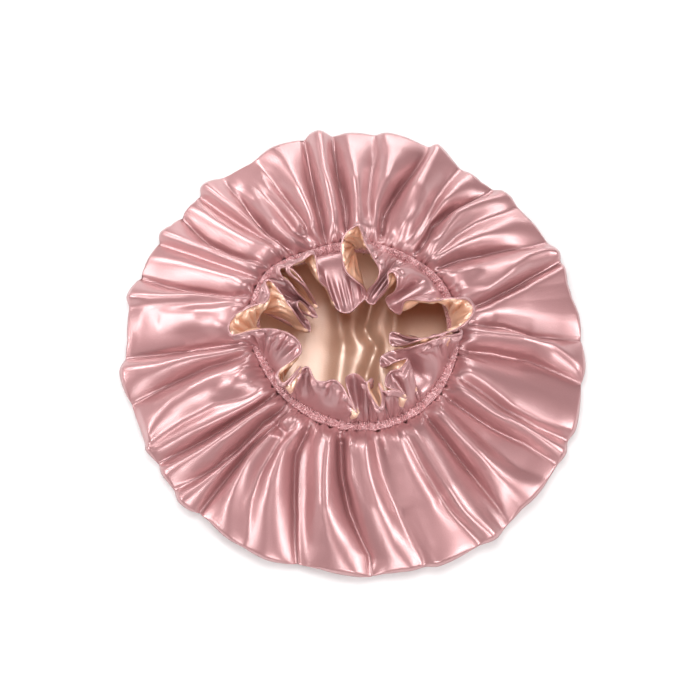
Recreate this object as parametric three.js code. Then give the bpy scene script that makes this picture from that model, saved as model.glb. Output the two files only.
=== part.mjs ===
// A reversible satin sleep bonnet, lying on its crown with the opening upwards.
// Two layers of satin, pink outside and champagne inside, are gathered into an elastic casing
// and stand past it as a frill. Millimetres, +Z up. The origin is on the surface that the
// bonnet lies on, under the middle of its crown; +Y is away from the viewer.
import * as THREE from "three";

// The crown as it lies
const RIM_RADIUS = 173;
const RIM_HEIGHT = 12;
const WALL = 1.2;
const LAYER_PITCH = 2.8;

// The elastic casing that gathers both layers
const CASING_RADIUS = 73;
const CASING_CENTRE_Y = 9;
const CASING_HEIGHT = 40;
const CASING_WIDTH = 6;
const CASING_THICKNESS = 5;
const CASING_PLEATS = 56;
const PLEAT_DEPTH = 0.7;
const CROWN_SEAM_GAP = 0.4;
const FRILL_SEAM_GAP = 0.7;

// Folds in the crown
const FOLD_LIFT = 11;
const LINING_FOLD_LIFT = 4;
const FOLD_WIDTH = 9;
const CREASE_DEPTH = 5;

// The frill beyond the casing
const FRILL_WIDTH = 42;
const FRILL_TURN = 7;
const FRILL_LAYER_PITCH = 2;

const PINK = { color: 0xd9a3a6, roughness: 0.36, metalness: 0.1 };
const CHAMPAGNE = { color: 0xe6be94, roughness: 0.36, metalness: 0.1 };

// Sections of the crown. "at" runs from 0, the middle of the crown, to 1 at the rim and 2 at the
// casing. "rise" is a share of RIM_HEIGHT up to the rim, and from there 1 more than a share of the
// way up to the casing. "folded" is how much of the folds a section takes. The lining is cut to
// fewer sections, those marked "lined".
const CROWN_SECTIONS = [
  { at: 0, rise: 0, folded: 0, lined: true },
  { at: 0.6, rise: 0, folded: 0, lined: false },
  { at: 0.86, rise: 0, folded: 0, lined: true },
  { at: 0.965, rise: 0.3, folded: 0.25, lined: true },
  { at: 1, rise: 1, folded: 0.5, lined: true },
  { at: 1.06, rise: 1.22, folded: 0.8, lined: true },
  { at: 1.2, rise: 1.4, folded: 1, lined: false },
  { at: 1.4, rise: 1.56, folded: 1, lined: true },
  { at: 1.62, rise: 1.76, folded: 0.9, lined: false },
  { at: 1.84, rise: 1.93, folded: 0.6, lined: true },
  { at: 2, rise: 2, folded: 0, lined: true },
];

// Folds of the crown's top, in order round it. Each is a ridge at three angles in degrees: at the
// casing, half way out and at the rim. "lift" is its height at the same three places, as shares of
// FOLD_LIFT, and "wide" its width as a share of FOLD_WIDTH. "valley" is the depth of the crease
// between it and the next ridge, as a share of CREASE_DEPTH.
const FOLDS = [
  { ring: 5.5, mid: 4, rim: 0, lift: [0.5, 0.8, 0.7], wide: 0.9, valley: 0.15 },
  { ring: 11, mid: 12.5, rim: 11, lift: [0.7, 0.5, 0.4], wide: 1.2, valley: 0.6 },
  { ring: 20, mid: 22.5, rim: 23, lift: [0.2, 0.3, 0.6], wide: 0.6, valley: 0.15 },
  { ring: 26.5, mid: 25, rim: 28.5, lift: [0.7, 0.9, 0.9], wide: 1, valley: 0.15 },
  { ring: 36, mid: 32, rim: 30, lift: [0.8, 0.8, 0.1], wide: 1, valley: 0.8 },
  { ring: 44, mid: 41.5, rim: 37, lift: [0.2, 0.6, 0.6], wide: 0.9, valley: 0.15 },
  { ring: 49, mid: 50.5, rim: 43, lift: [0.9, 0.9, 0.5], wide: 1, valley: 0.9 },
  { ring: 57, mid: 57.5, rim: 58, lift: [0.1, 0.35, 0.6], wide: 0.7, valley: 0.15 },
  { ring: 66.5, mid: 67.5, rim: 69, lift: [1, 1, 0.8], wide: 1.3, valley: 0.8 },
  { ring: 84, mid: 79.5, rim: 82.5, lift: [0.5, 0.8, 0.7], wide: 0.9, valley: 0.15 },
  { ring: 89.5, mid: 91, rim: 95, lift: [0.8, 0.9, 0.6], wide: 1, valley: 0.6 },
  { ring: 100, mid: 101, rim: 100, lift: [0.8, 0.9, 0.9], wide: 0.8, valley: 0.5 },
  { ring: 108.5, mid: 109.5, rim: 110, lift: [0.8, 0.9, 0.6], wide: 1.1, valley: 0.15 },
  { ring: 116, mid: 120.5, rim: 122, lift: [0.8, 0.9, 0.2], wide: 1.1, valley: 0.6 },
  { ring: 125.5, mid: 129.5, rim: 132.5, lift: [0.7, 0.4, 0.8], wide: 0.9, valley: 0.15 },
  { ring: 134, mid: 137, rim: 140, lift: [0.9, 0.5, 0.2], wide: 1.3, valley: 0.75 },
  { ring: 140, mid: 146.5, rim: 147.5, lift: [0.3, 0.5, 0.9], wide: 1, valley: 0.15 },
  { ring: 151, mid: 152, rim: 156, lift: [0.7, 0.6, 0.4], wide: 1.4, valley: 0.8 },
  { ring: 161, mid: 165.5, rim: 166.5, lift: [0.7, 0.8, 0.9], wide: 0.9, valley: 0.15 },
  { ring: 170.5, mid: 171, rim: 176, lift: [0.9, 0.5, 0.2], wide: 1.1, valley: 0.15 },
  { ring: 178, mid: 182.5, rim: 184.5, lift: [0.5, 0.8, 0.9], wide: 0.9, valley: 0.8 },
  { ring: 197, mid: 195.5, rim: 193, lift: [1, 0.8, 0.5], wide: 1.3, valley: 0.15 },
  { ring: 205, mid: 205, rim: 203.5, lift: [0.1, 0.4, 0.9], wide: 0.7, valley: 0.8 },
  { ring: 214, mid: 213.5, rim: 212.5, lift: [0.9, 0.9, 0.6], wide: 0.9, valley: 0.15 },
  { ring: 220, mid: 220.5, rim: 219.5, lift: [0.2, 0.2, 0.8], wide: 0.6, valley: 0.9 },
  { ring: 225, mid: 228, rim: 235, lift: [1, 1, 0.6], wide: 1, valley: 0.15 },
  { ring: 233, mid: 239.5, rim: 246, lift: [0.5, 0.8, 0.7], wide: 1.2, valley: 1 },
  { ring: 255.5, mid: 258, rim: 267, lift: [1, 1, 0.6], wide: 1.1, valley: 1 },
  { ring: 268, mid: 271, rim: 276, lift: [0.6, 0.2, 0.3], wide: 0.7, valley: 0.15 },
  { ring: 275.5, mid: 280, rim: 285, lift: [0.9, 1, 0.5], wide: 1, valley: 0.5 },
  { ring: 289, mid: 292, rim: 291.5, lift: [0.6, 0.5, 0.8], wide: 1.4, valley: 0.15 },
  { ring: 298, mid: 302, rim: 303, lift: [0.6, 0.9, 0.6], wide: 1.1, valley: 0.5 },
  { ring: 308.5, mid: 310, rim: 310, lift: [0.7, 0.6, 0.9], wide: 1, valley: 0.9 },
  { ring: 319.5, mid: 321, rim: 322, lift: [0.9, 1, 1], wide: 1, valley: 0.9 },
  { ring: 339, mid: 335, rim: 333.5, lift: [0.8, 1, 0.9], wide: 1, valley: 0.15 },
  { ring: 346, mid: 341, rim: 339, lift: [0.4, 0.6, 0.6], wide: 0.8, valley: 0.15 },
  { ring: 350.5, mid: 347, rim: 345, lift: [0.7, 0.6, 0.5], wide: 1.2, valley: 0.8 },
];
const COLUMNS_PER_FOLD = 3;

// The casing's outline: its radius at angles round it, as a share of CASING_RADIUS.
const CASING_OUTLINE = [
  { angle: 0, out: 1.03 },
  { angle: 30, out: 1.03 },
  { angle: 60, out: 0.97 },
  { angle: 90, out: 0.96 },
  { angle: 118, out: 0.98 },
  { angle: 145, out: 1.1 },
  { angle: 172, out: 1.07 },
  { angle: 200, out: 0.98 },
  { angle: 230, out: 0.95 },
  { angle: 265, out: 0.97 },
  { angle: 300, out: 1.01 },
  { angle: 330, out: 1.03 },
];

// Tips of the frill's free edge, in order round the casing. "out" is how far a tip lies outside
// the casing, or inside it where it is negative, and "up" is its height above the casing's top.
// Both are shares of FRILL_WIDTH, and "turn" is the tip's width as a share of FRILL_TURN.
const FRILL_TIPS = [
  { angle: 14, out: 0.42, up: 0.72, turn: 1.8 },
  { angle: 22, out: -0.82, up: 0.42, turn: 1 },
  { angle: 36, out: -0.02, up: 0.62, turn: 1.3 },
  { angle: 44, out: -0.78, up: 0.42, turn: 0.8 },
  { angle: 57, out: 0.1, up: 0.66, turn: 1.3 },
  { angle: 67, out: -0.78, up: 0.5, turn: 0.8 },
  { angle: 83, out: 0.14, up: 0.88, turn: 1.7 },
  { angle: 94, out: -0.84, up: 0.36, turn: 1 },
  { angle: 106, out: -0.28, up: 0.78, turn: 1 },
  { angle: 117, out: 0.1, up: 0.8, turn: 1 },
  { angle: 127, out: -0.76, up: 0.45, turn: 0.8 },
  { angle: 139, out: 0.14, up: 0.78, turn: 1.1 },
  { angle: 148, out: -0.8, up: 0.42, turn: 0.8 },
  { angle: 158, out: 0.16, up: 0.76, turn: 1.1 },
  { angle: 168, out: -0.82, up: 0.4, turn: 1 },
  { angle: 183, out: 0.42, up: 0.7, turn: 1.7 },
  { angle: 197, out: -0.78, up: 0.42, turn: 1.2 },
  { angle: 212, out: -0.06, up: 0.5, turn: 1.2 },
  { angle: 222, out: -0.8, up: 0.42, turn: 0.9 },
  { angle: 234, out: -0.02, up: 0.44, turn: 1.2 },
  { angle: 249, out: -0.8, up: 0.42, turn: 1.4 },
  { angle: 262, out: 0.16, up: 0.4, turn: 1.3 },
  { angle: 273, out: -0.82, up: 0.42, turn: 1 },
  { angle: 286, out: 0, up: 0.5, turn: 1.2 },
  { angle: 296, out: -0.8, up: 0.42, turn: 0.9 },
  { angle: 308, out: 0, up: 0.46, turn: 1.1 },
  { angle: 319, out: -0.8, up: 0.42, turn: 1 },
  { angle: 333, out: 0.14, up: 0.5, turn: 1.3 },
  { angle: 344, out: -0.84, up: 0.42, turn: 0.9 },
  { angle: 355, out: 0.36, up: 0.62, turn: 1 },
  { angle: 363, out: -0.86, up: 0.36, turn: 0.8 },
];

// Sections of the frill from the casing to the free edge. "at" is the share of the way, and
// "folded" how much of the edge's way in or out a section already has.
const FRILL_SECTIONS = [
  { at: 0, folded: 0 },
  { at: 0.25, folded: 0.04 },
  { at: 0.62, folded: 0.55 },
  { at: 1, folded: 1 },
];

const TURN = 2 * Math.PI;
const radians = (degrees) => (degrees * Math.PI) / 180;
const mix = (a, b, share) => a + (b - a) * share;
const turned = (row, degrees) =>
  Object.fromEntries(
    Object.entries(row).map(([key, value]) => {
      const isAngle = ["ring", "mid", "rim", "angle"].includes(key);
      return [key, isAngle ? value + degrees : value];
    }),
  );

// A smooth curve through a table's rows: the value of one column at a place in another.
function smooth(rows, key, column, at) {
  let i = rows.findIndex((row) => row[key] > at) - 1;
  if (i < 0) i = at < rows[0][key] ? 0 : rows.length - 2;
  const slope = (k) => {
    const before = rows[Math.max(k - 1, 0)];
    const after = rows[Math.min(k + 1, rows.length - 1)];
    return (after[column] - before[column]) / (after[key] - before[key]);
  };
  const span = rows[i + 1][key] - rows[i][key];
  const t = (at - rows[i][key]) / span;
  return (
    (1 + 2 * t) * (1 - t) ** 2 * rows[i][column] +
    t * (1 - t) ** 2 * span * slope(i) +
    t * t * (3 - 2 * t) * rows[i + 1][column] +
    t * t * (t - 1) * span * slope(i + 1)
  );
}

// The casing's radius at an angle in radians.
const CLOSED_OUTLINE = [-360, 0, 360].flatMap((lap) =>
  CASING_OUTLINE.map((row) => turned(row, lap)),
);
function casingRadius(angle) {
  const degrees = ((((angle * 180) / Math.PI) % 360) + 360) % 360;
  return CASING_RADIUS * smooth(CLOSED_OUTLINE, "angle", "out", degrees);
}

// A value given at the casing, half way out and at the rim, at a share of the way in from the rim.
function threeWay(ring, mid, rim, inward) {
  return inward < 0.5 ? mix(rim, mid, inward * 2) : mix(mid, ring, inward * 2 - 1);
}

const ridgeAngle = (fold, inward) => radians(threeWay(fold.ring, fold.mid, fold.rim, inward));

// The columns of the crown's surface follow its folds: one on each ridge, the rest in the valley.
const CROWN_COLUMNS = FOLDS.flatMap((fold, i) => {
  const next = i + 1 < FOLDS.length ? FOLDS[i + 1] : turned(FOLDS[0], 360);
  return Array.from({ length: COLUMNS_PER_FOLD }, (_, k) => ({
    fold,
    next,
    share: k / COLUMNS_PER_FOLD,
  }));
});

function columnAngle({ fold, next, share }, inward) {
  return mix(ridgeAngle(fold, inward), ridgeAngle(next, inward), share);
}

// The height of the folds above the crown's plain surface, on a column. "lift" is the ridges'
// height in full.
function foldHeight(column, inward, lift) {
  const MEETING = 3;
  const angle = columnAngle(column, inward);
  const radius = mix(RIM_RADIUS, CASING_RADIUS, inward);
  const ridges = [column.fold, column.next].map((fold) => {
    const off = ((ridgeAngle(fold, inward) - angle) * radius) / (FOLD_WIDTH * fold.wide);
    return threeWay(...fold.lift, inward) / (1 + off * off) ** 1.5;
  });
  const height = (ridges[0] ** MEETING + ridges[1] ** MEETING) ** (1 / MEETING);
  const valley = column.fold.valley * Math.sin(Math.PI * column.share);
  return lift * height - CREASE_DEPTH * valley;
}

// A point of the crown without folds, at a section's place and an angle.
function plainCrown({ at, rise }, angle) {
  const out = new THREE.Vector3(Math.cos(angle), Math.sin(angle), 0);
  const rim = out.clone().multiplyScalar(RIM_RADIUS);
  if (at <= 1) {
    return rim.multiplyScalar(at).setZ(mix(WALL / 2, RIM_HEIGHT, rise));
  }
  const end = casingRadius(angle) + CASING_WIDTH / 2 + CROWN_SEAM_GAP;
  const casing = out.multiplyScalar(end);
  casing.y += CASING_CENTRE_Y;
  const top = CASING_HEIGHT + CASING_THICKNESS / 2 - WALL;
  return rim.lerp(casing, at - 1).setZ(mix(RIM_HEIGHT, top, rise - 1));
}

// The direction out of a sheet at each of its points. Rows run round the part and close, and the
// first row may be one point, where the sheet faces down.
function sheetNormals(rows, startsAtPoint) {
  return rows.map((row, i) =>
    row.map((point, j) => {
      if (startsAtPoint && i === 0) return new THREE.Vector3(0, 0, -1);
      const count = row.length;
      const round = row[(j + 1) % count].clone().sub(row[(j + count - 1) % count]);
      const after = rows[Math.min(i + 1, rows.length - 1)][j];
      const run = after.clone().sub(rows[Math.max(i - 1, 0)][j]);
      return round.cross(run).normalize();
    }),
  );
}

function movedOut(rows, normals, distance) {
  return rows.map((row, i) =>
    row.map((point, j) => point.clone().addScaledVector(normals[i][j], distance)),
  );
}

// Rows of points in the middle of one layer of the crown, from its centre to the casing. "lift" is
// the height of its ridges, and "inset" how far it lies inside the outer layer, which is below it
// at the casing.
function crownRows(lift, inset) {
  const plain = CROWN_SECTIONS.map((section) =>
    CROWN_COLUMNS.map((column) => {
      const angle = columnAngle(column, Math.max(section.at - 1, 0));
      return plainCrown(section, angle);
    }),
  );
  const normals = sheetNormals(plain, true);
  const up = new THREE.Vector3(0, 0, 1);
  normals[normals.length - 1].fill(up);
  return plain.map((row, i) => {
    const { at, folded } = CROWN_SECTIONS[i];
    return row.map((point, j) => {
      const height = folded * foldHeight(CROWN_COLUMNS[j], Math.max(at - 1, 0), lift);
      return point.addScaledVector(normals[i][j], height - inset);
    });
  });
}

// A closed solid from a sheet: its faces lie at two distances out of the sheet.
function thickened(rows, inner, outer, startsAtPoint) {
  const normals = sheetNormals(rows, startsAtPoint);
  const columns = rows[0].length;
  const positions = [];
  const faces = [];
  const addSide = (distance) =>
    movedOut(rows, normals, distance).map((row, i) => {
      const points = startsAtPoint && i === 0 ? [row[0]] : row;
      return points.map((point) => {
        positions.push(point.x, point.y, point.z);
        return positions.length / 3 - 1;
      });
    });
  const addFace = (a, b, c, flipped) => faces.push(a, flipped ? c : b, flipped ? b : c);
  const addBand = (lower, upper, flipped) => {
    for (let j = 0; j < columns; j++) {
      const k = (j + 1) % columns;
      if (lower.length === 1) {
        addFace(lower[0], upper[k], upper[j], flipped);
      } else {
        addFace(lower[j], lower[k], upper[k], flipped);
        addFace(lower[j], upper[k], upper[j], flipped);
      }
    }
  };
  const outside = addSide(outer);
  const inside = addSide(inner);
  for (let i = 0; i + 1 < rows.length; i++) {
    addBand(outside[i], outside[i + 1], false);
    addBand(inside[i], inside[i + 1], true);
  }
  addBand(outside.at(-1), inside.at(-1), false);
  if (!startsAtPoint) addBand(inside[0], outside[0], false);
  return closedGeometry(positions, faces);
}

function closedGeometry(positions, faces) {
  const geometry = new THREE.BufferGeometry();
  geometry.setAttribute("position", new THREE.Float32BufferAttribute(positions, 3));
  geometry.setIndex(faces);
  geometry.computeVertexNormals();
  return geometry;
}

function outerCrown() {
  return thickened(crownRows(FOLD_LIFT, 0), -WALL / 2, WALL / 2, true);
}

// The lining lies inside the outer crown and hangs away from its ridges.
function liningCrown() {
  const rows = crownRows(LINING_FOLD_LIFT, LAYER_PITCH);
  const lined = rows.filter((row, i) => CROWN_SECTIONS[i].lined);
  return thickened(lined, -WALL / 2, WALL / 2, true);
}

// The casing is a flat ring of small pleats: every second section is a little smaller.
function elasticCasing() {
  const corners = [
    { out: 0.5, up: -0.5 },
    { out: 0.5, up: 0.5 },
    { out: -0.5, up: 0.5 },
    { out: -0.5, up: -0.5 },
  ];
  const sections = CASING_PLEATS * 2;
  const positions = [];
  const faces = [];
  const index = (j, corner) => (j % sections) * corners.length + (corner % corners.length);
  for (let j = 0; j < sections; j++) {
    const angle = (j / sections) * TURN;
    const pleat = (j % 2) * PLEAT_DEPTH;
    for (const [c, { out, up }] of corners.entries()) {
      const radius = casingRadius(angle) + out * (CASING_WIDTH - pleat);
      const z = CASING_HEIGHT + up * (CASING_THICKNESS - pleat);
      positions.push(radius * Math.cos(angle), radius * Math.sin(angle) + CASING_CENTRE_Y, z);
      faces.push(index(j, c), index(j + 1, c), index(j + 1, c + 1));
      faces.push(index(j, c), index(j + 1, c + 1), index(j, c + 1));
    }
  }
  return closedGeometry(positions, faces);
}

// Points of the frill's free edge, three at each tip, with the angle of the root of each.
function frillEdge() {
  const tips = FRILL_TIPS.map(({ angle, out, up, turn }) => {
    const direction = radians(angle);
    const radius = casingRadius(direction) + out * FRILL_WIDTH;
    const x = radius * Math.cos(direction);
    const y = radius * Math.sin(direction) + CASING_CENTRE_Y;
    const z = CASING_HEIGHT + CASING_THICKNESS / 2 + up * FRILL_WIDTH;
    return { point: new THREE.Vector3(x, y, z), angle, width: turn * FRILL_TURN };
  });
  const count = tips.length;
  return tips.flatMap(({ point, angle, width }, i) => {
    const before = tips[(i + count - 1) % count];
    const after = tips[(i + 1) % count];
    const across = after.point.clone().sub(before.point).setLength(width / 2);
    const back = before.point.clone().lerp(after.point, 0.5).sub(point).setLength(width / 2);
    const lap = 360;
    const angleBefore = before.angle - (i === 0 ? lap : 0);
    const angleAfter = after.angle + (i === count - 1 ? lap : 0);
    return [
      { point: point.clone().sub(across).add(back), root: mix(angle, angleBefore, 1 / 3) },
      { point: point.clone(), root: angle },
      { point: point.clone().add(across).add(back), root: mix(angle, angleAfter, 1 / 3) },
    ];
  });
}

// Rows of points of the frill, from the casing's top to the free edge.
function frillRows() {
  const foot = CASING_HEIGHT + CASING_THICKNESS / 2 + FRILL_SEAM_GAP;
  return FRILL_SECTIONS.map(({ at, folded }) =>
    frillEdge().map(({ point, root }) => {
      const angle = radians(root);
      const radius = casingRadius(angle);
      const footPoint = new THREE.Vector3(radius * Math.cos(angle), radius * Math.sin(angle), 0);
      footPoint.y += CASING_CENTRE_Y;
      return footPoint.lerp(point, folded).setZ(mix(foot, point.z, at));
    }),
  );
}

// One layer of the frill, on the outer side of its middle where "side" is 1 and inside at -1.
function frillLayer(side) {
  const middle = (side * FRILL_LAYER_PITCH) / 2;
  return thickened(frillRows(), middle - WALL / 2, middle + WALL / 2, false);
}

function node(name, geometry, finish) {
  const mesh = new THREE.Mesh(geometry, new THREE.MeshStandardMaterial(finish));
  mesh.name = name;
  return mesh;
}

const bonnet = new THREE.Group();
bonnet.add(node("outer_crown", outerCrown(), PINK));
bonnet.add(node("lining_crown", liningCrown(), CHAMPAGNE));
bonnet.add(node("elastic_casing", elasticCasing(), PINK));
bonnet.add(node("outer_frill", frillLayer(1), PINK));
bonnet.add(node("lining_frill", frillLayer(-1), CHAMPAGNE));

export default bonnet;
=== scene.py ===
"""The looks of a reversible satin sleep bonnet, lying on its crown with its opening upwards.

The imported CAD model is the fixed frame. Shapes are worked out in millimetres as grids of points
that run round the bonnet, and become meshes in metres. The crown's folds and the frill's free edge
are charted in the photograph's pixels, and placed on the cloth where the camera sees them. The
frill then takes up its cut width and length between its charted edge and the casing.
"""
import math

import bpy
import numpy as np
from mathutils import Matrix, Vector


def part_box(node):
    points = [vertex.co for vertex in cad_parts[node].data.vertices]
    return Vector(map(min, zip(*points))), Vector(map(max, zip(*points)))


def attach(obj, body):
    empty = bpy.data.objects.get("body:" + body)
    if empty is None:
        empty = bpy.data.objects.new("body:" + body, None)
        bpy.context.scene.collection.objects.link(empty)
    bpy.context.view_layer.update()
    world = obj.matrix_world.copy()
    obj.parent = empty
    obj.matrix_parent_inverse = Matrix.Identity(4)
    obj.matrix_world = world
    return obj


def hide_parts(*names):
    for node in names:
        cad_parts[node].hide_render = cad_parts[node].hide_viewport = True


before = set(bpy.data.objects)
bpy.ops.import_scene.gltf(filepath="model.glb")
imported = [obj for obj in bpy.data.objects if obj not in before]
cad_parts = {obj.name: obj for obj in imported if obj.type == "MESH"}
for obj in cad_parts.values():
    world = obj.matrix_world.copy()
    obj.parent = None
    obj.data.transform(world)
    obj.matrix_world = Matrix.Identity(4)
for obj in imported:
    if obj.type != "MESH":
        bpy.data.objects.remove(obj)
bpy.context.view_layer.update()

MM = 0.001
TURN = 2 * math.pi
BODY = "root"
SEED = 7

# Added to lengths that are divided by
TINY = 1e-9

# The photograph's view: where its camera is, and the pixel in which the middle of the rim's
# plane falls. The picture is PICTURE pixels wide.
PICTURE = 700
VIEW_ELEVATION = math.radians(75)
VIEW_DISTANCE = 3000
LENS = 200
SENSOR = 36
MIDDLE_PIXEL = (355, 356.5)

# How often a pixel is placed again on a surface whose height depends on the place
PLACING_ROUNDS = 12

# The casing: its top from the frame, and its middle line in plan, as (degrees, share of the radius)
CASING_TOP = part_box("elastic_casing")[1][2] / MM
CASING_CENTRE_Y = 9
CASING_RADIUS = 73
CASING_WIDTH = 10
CASING_RISE = 6.2
CASING_SUNK = 0.5
CASING_OUTLINE = [
    (0, 1.03), (30, 1.03), (60, 0.97), (90, 0.96), (118, 0.98), (145, 1.1),
    (172, 1.07), (200, 0.98), (230, 0.95), (265, 0.97), (300, 1.01), (330, 1.03),
]
CASING_COLUMNS = 1600
CASING_ROWS = 20

# The casing's shirring: pleats and fine threads round it, how far they wander, how far they slant
# from one side to the other, and the pinch of the two seams along it
PLEATS = 85
PLEAT_SHARE = 1.2
PLEAT_POWER = 0.8
PLEAT_WANDER = 1.3
PLEAT_SLANT = 1.7
PLEAT_SLANT_TURNS = 0.75
THREADS = 230
THREAD_SHARE = 0.35
THREAD_WANDER = 3
THREAD_SLANT = 2
SEAM_PINCH = 0.5
SEAM_PLACE = 0.62
SEAM_WIDTH = 0.16
SIDE_SPLAY = 0.5

# The relief varies round the casing, and lifts its arch from a least share of its rise. Waves of
# noise are given as the numbers of waves round the bonnet and how fast they weaken.
RELIEF_MEAN = 0.9
RELIEF_VARIES = 0.4
RISE_LEAST = 0.45
RISE_BY_RELIEF = 0.4
WANDER_WAVES = (range(3, 60), 0.5)
RELIEF_WAVES = (range(20, 120), 0.2)

# Half the casing's width, and a step round the frill's rolled edge, in their UV maps
CASING_CUT_HALF = 4
EDGE_CUT_STEP = 0.5

# Small pleats where a bag goes into the casing: (how many, height, reach in mm). They sway from
# side to side, and their heights vary.
GATHERS = [(118, 0.7, 3), (71, 0.9, 4.5), (38, 0.8, 9)]
GATHER_SWAY = 2.2
GATHER_SWAY_WAVES = (range(3, 40), 0.6)
GATHER_VARIES = 0.45
GATHER_VARIES_WAVES = (range(10, 60), 0.3)
GATHER_START = 2
GATHER_AT_START = 0.8

# Each bag is cut as a disc
CUT_RADIUS = 275

# The crown as it lies, without folds: (radius, height) from the casing over the rim to the middle
CROWN_TOP = [
    (76.6, 41), (78.5, 43.6), (83, 45), (90, 43.5), (104, 38), (120, 31.5),
    (138, 24.5), (153, 19), (163, 15.5), (169, 13), (171, 12),
]
CROWN_UNDER = [
    (169.6, 8.2), (164, 3.4), (155, 1.5), (144, 0.9), (125, 0.7), (95, 0.6), (60, 0.6), (20, 0.6),
]
CROWN_START = CROWN_TOP[0][0]
RIM_RADIUS, RIM_HEIGHT = CROWN_TOP[-1]
CROWN_COLUMNS = 840
CROWN_TOP_ROWS = 97
CROWN_UNDER_ROWS = 16

# Underneath, rows are closest by the rim. This share of their spacing is even, and the rest grows.
UNDER_EVEN = 0.35

# The power with which the outline's shape fades from the rim to the middle, underneath
OUTLINE_FADE = 4

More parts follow.
